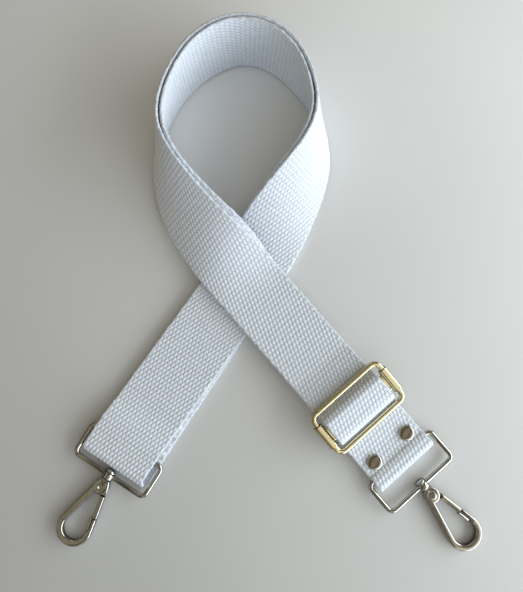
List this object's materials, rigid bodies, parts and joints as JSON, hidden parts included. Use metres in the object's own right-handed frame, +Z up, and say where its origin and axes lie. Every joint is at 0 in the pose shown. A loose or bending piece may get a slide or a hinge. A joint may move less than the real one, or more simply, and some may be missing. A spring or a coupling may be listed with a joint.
{
  "type": "detachable bag strap",
  "caption": "Short carrying strap of doubled woven cotton webbing, with a swivel trigger hook on a bail at each end, a slider and double-cap rivets, laid with its legs crossed.",
  "frame": {"origin": "on the table under the point where the middles of the two legs cross, on the underside of the lower leg", "axes": "+X to the right and +Y towards the loop as the strap lies, +Z up from the table"},
  "size_m": [0.2245, 0.2844, 0.0383],
  "materials": {
    "cotton_webbing": "plain woven cotton",
    "nickel": "polished nickel plate",
    "rivet_nickel": "polished nickel plate",
    "pale_gold": "polished pale gold plate",
    "steel": "bright steel"
  },
  "bodies": {
    "strap": {"webbing": "cotton_webbing", "bail_rivet_1_post": "rivet_nickel", "bail_rivet_1_cap": "rivet_nickel", "bail_rivet_2_post": "rivet_nickel", "bail_rivet_2_cap": "rivet_nickel"},
    "slider": {"slider_bar": "pale_gold", "slider_rivet_1_post": "rivet_nickel", "slider_rivet_1_cap": "rivet_nickel", "slider_rivet_2_post": "rivet_nickel", "slider_rivet_2_cap": "rivet_nickel"},
    "frame": {"slider_frame": "pale_gold"},
    "left_bail": {"left_bail": "nickel"},
    "left_hook": {"left_hook_body": "nickel", "left_swivel_rivet": "steel", "left_gate_pin": "steel", "left_gate_spring": "steel"},
    "left_gate": {"left_gate": "nickel"},
    "right_bail": {"right_bail": "nickel"},
    "right_hook": {"right_hook_body": "nickel", "right_swivel_rivet": "steel", "right_gate_pin": "steel", "right_gate_spring": "steel"},
    "right_gate": {"right_gate": "nickel"}
  },
  "joints": [
    {"name": "slider_travel", "type": "slide", "parent": "strap", "child": "slider", "axis": [0.6534, -0.757, 0], "range_m": [-0.02, 0.006], "deforming": ["webbing"]},
    {"name": "frame_shift", "type": "slide", "parent": "slider", "child": "frame", "axis": [0.6414, -0.7431, -0.1908], "range_m": [-0.0008, 0.0008], "deforming": ["webbing"]},
    {"name": "left_bail_swing", "type": "hinge", "parent": "strap", "child": "left_bail", "pos_m": [-0.06188, -0.09038, 0.00335], "axis": [0.8447, -0.5352, 0], "range_deg": [-135, 135]},
    {"name": "left_swivel", "type": "hinge", "parent": "left_bail", "child": "left_hook", "pos_m": [-0.06188, -0.09038, 0.00335], "axis": [-0.5351, -0.8445, -0.0211], "continuous": true},
    {"name": "left_gate_opening", "type": "hinge", "parent": "left_hook", "child": "left_gate", "pos_m": [-0.0755, -0.11187, 0.00281], "axis": [0.0113, 0.0178, -0.9998], "range_deg": [0, 25], "stiffness_Nm_per_rad": 0.02, "springref_deg": -34.38, "deforming": ["left_gate_spring"]},
    {"name": "right_bail_swing", "type": "hinge", "parent": "strap", "child": "right_bail", "pos_m": [0.0839, -0.0972, 0.00335], "axis": [0.757, 0.6534, 0], "range_deg": [-135, 135]},
    {"name": "right_swivel", "type": "hinge", "parent": "right_bail", "child": "right_hook", "pos_m": [0.0839, -0.0972, 0.00335], "axis": [0.6533, -0.7568, -0.0211], "continuous": true},
    {"name": "right_gate_opening", "type": "hinge", "parent": "right_hook", "child": "right_gate", "pos_m": [0.10053, -0.11646, 0.00281], "axis": [-0.0138, 0.016, -0.9998], "range_deg": [0, 25], "stiffness_Nm_per_rad": 0.02, "springref_deg": -34.38, "deforming": ["right_gate_spring"]}
  ]
}
